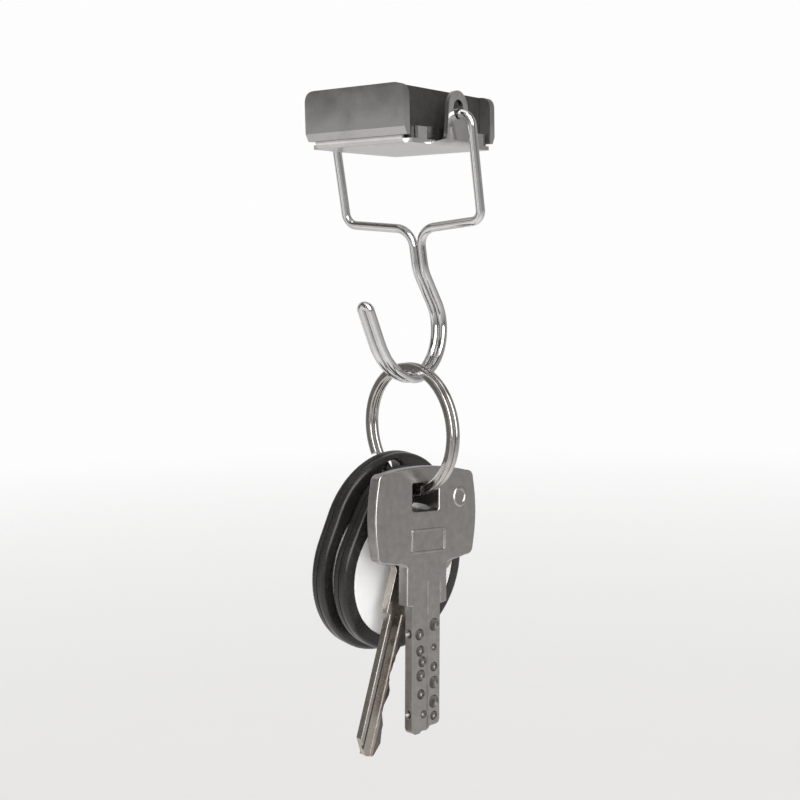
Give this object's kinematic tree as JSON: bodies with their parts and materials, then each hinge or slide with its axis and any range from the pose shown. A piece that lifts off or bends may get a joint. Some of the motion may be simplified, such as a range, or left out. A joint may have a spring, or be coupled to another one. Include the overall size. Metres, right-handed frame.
{
  "type": "key organiser",
  "caption": "Magnetic holder with a swinging wire hook that carries a split ring with keys and round plastic fobs, held up by its magnet.",
  "frame": {"origin": "centre of the magnet's contact face, in the plane that the pole plates share with it", "axes": "+Z out of the contact face, towards the steel surface that holds the magnet; everything hangs below it; X along the hook's hinge axis; Y across the two pole plates, -Y towards the front one"},
  "size_m": [0.0385, 0.0474, 0.145],
  "materials": {
    "plated_sheet": "zinc plated, bright",
    "pole_steel": "satin plated",
    "ferrite": "dull ground ferrite",
    "black_plastic": "semi-gloss",
    "chrome_wire": "polished",
    "ring_steel": "polished, worn",
    "key_nickel": "worn nickel silver",
    "key_nickel_warm": "nickel plated, worn warm at the edges",
    "white_label": "matt",
    "copper_coil": "enamelled copper winding",
    "chip_epoxy": "moulded epoxy"
  },
  "bodies": {
    "holder": {"cradle": "plated_sheet", "pole_plate_front": "pole_steel", "pole_plate_rear": "pole_steel", "magnet_block": "ferrite", "magnet_spacer": "black_plastic"},
    "hook": {"wire_hook": "chrome_wire"},
    "ring": {"split_ring": "ring_steel"},
    "key_dimple": {"dimple_key": "key_nickel"},
    "key_cut": {"cut_key": "key_nickel_warm"},
    "fob_front": {"front_fob_front_shell": "black_plastic", "front_fob_rear_shell": "black_plastic", "front_fob_front_label": "white_label", "front_fob_rear_label": "white_label", "front_fob_antenna": "copper_coil", "front_fob_chip": "chip_epoxy"},
    "fob_rear": {"rear_fob_front_shell": "black_plastic", "rear_fob_rear_shell": "black_plastic", "rear_fob_front_label": "white_label", "rear_fob_rear_label": "white_label", "rear_fob_antenna": "copper_coil", "rear_fob_chip": "chip_epoxy"}
  },
  "joints": [
    {"name": "hook_swing", "type": "hinge", "parent": "holder", "child": "hook", "pos_m": [0, 0, -0.005], "axis": [1, 0, 0], "range_deg": [-80, 50]},
    {"name": "ring_swing", "type": "hinge", "parent": "hook", "child": "ring", "pos_m": [-0.00092, 0.0022, -0.06175], "axis": [0.2773, 0.9608, 0], "range_deg": [-20, 8]},
    {"name": "dimple_key_swing", "type": "hinge", "parent": "ring", "child": "key_dimple", "pos_m": [0.00312, 0.00104, -0.08656], "axis": [0.9636, -0.2582, 0.0698], "range_deg": [-55, 60]},
    {"name": "cut_key_swing", "type": "hinge", "parent": "ring", "child": "key_cut", "pos_m": [-0.00006, 0.00195, -0.08717], "axis": [0.9658, -0.2588, 0.0175], "range_deg": [-40, 75]},
    {"name": "front_fob_swing", "type": "hinge", "parent": "ring", "child": "fob_front", "pos_m": [-0.00486, 0.00334, -0.08659], "axis": [0.9756, -0.2074, -0.0715], "range_deg": [-50, 50]},
    {"name": "rear_fob_swing", "type": "hinge", "parent": "ring", "child": "fob_rear", "pos_m": [-0.00947, 0.00467, -0.08401], "axis": [0.9709, -0.2064, -0.1219], "range_deg": [-50, 50]}
  ]
}
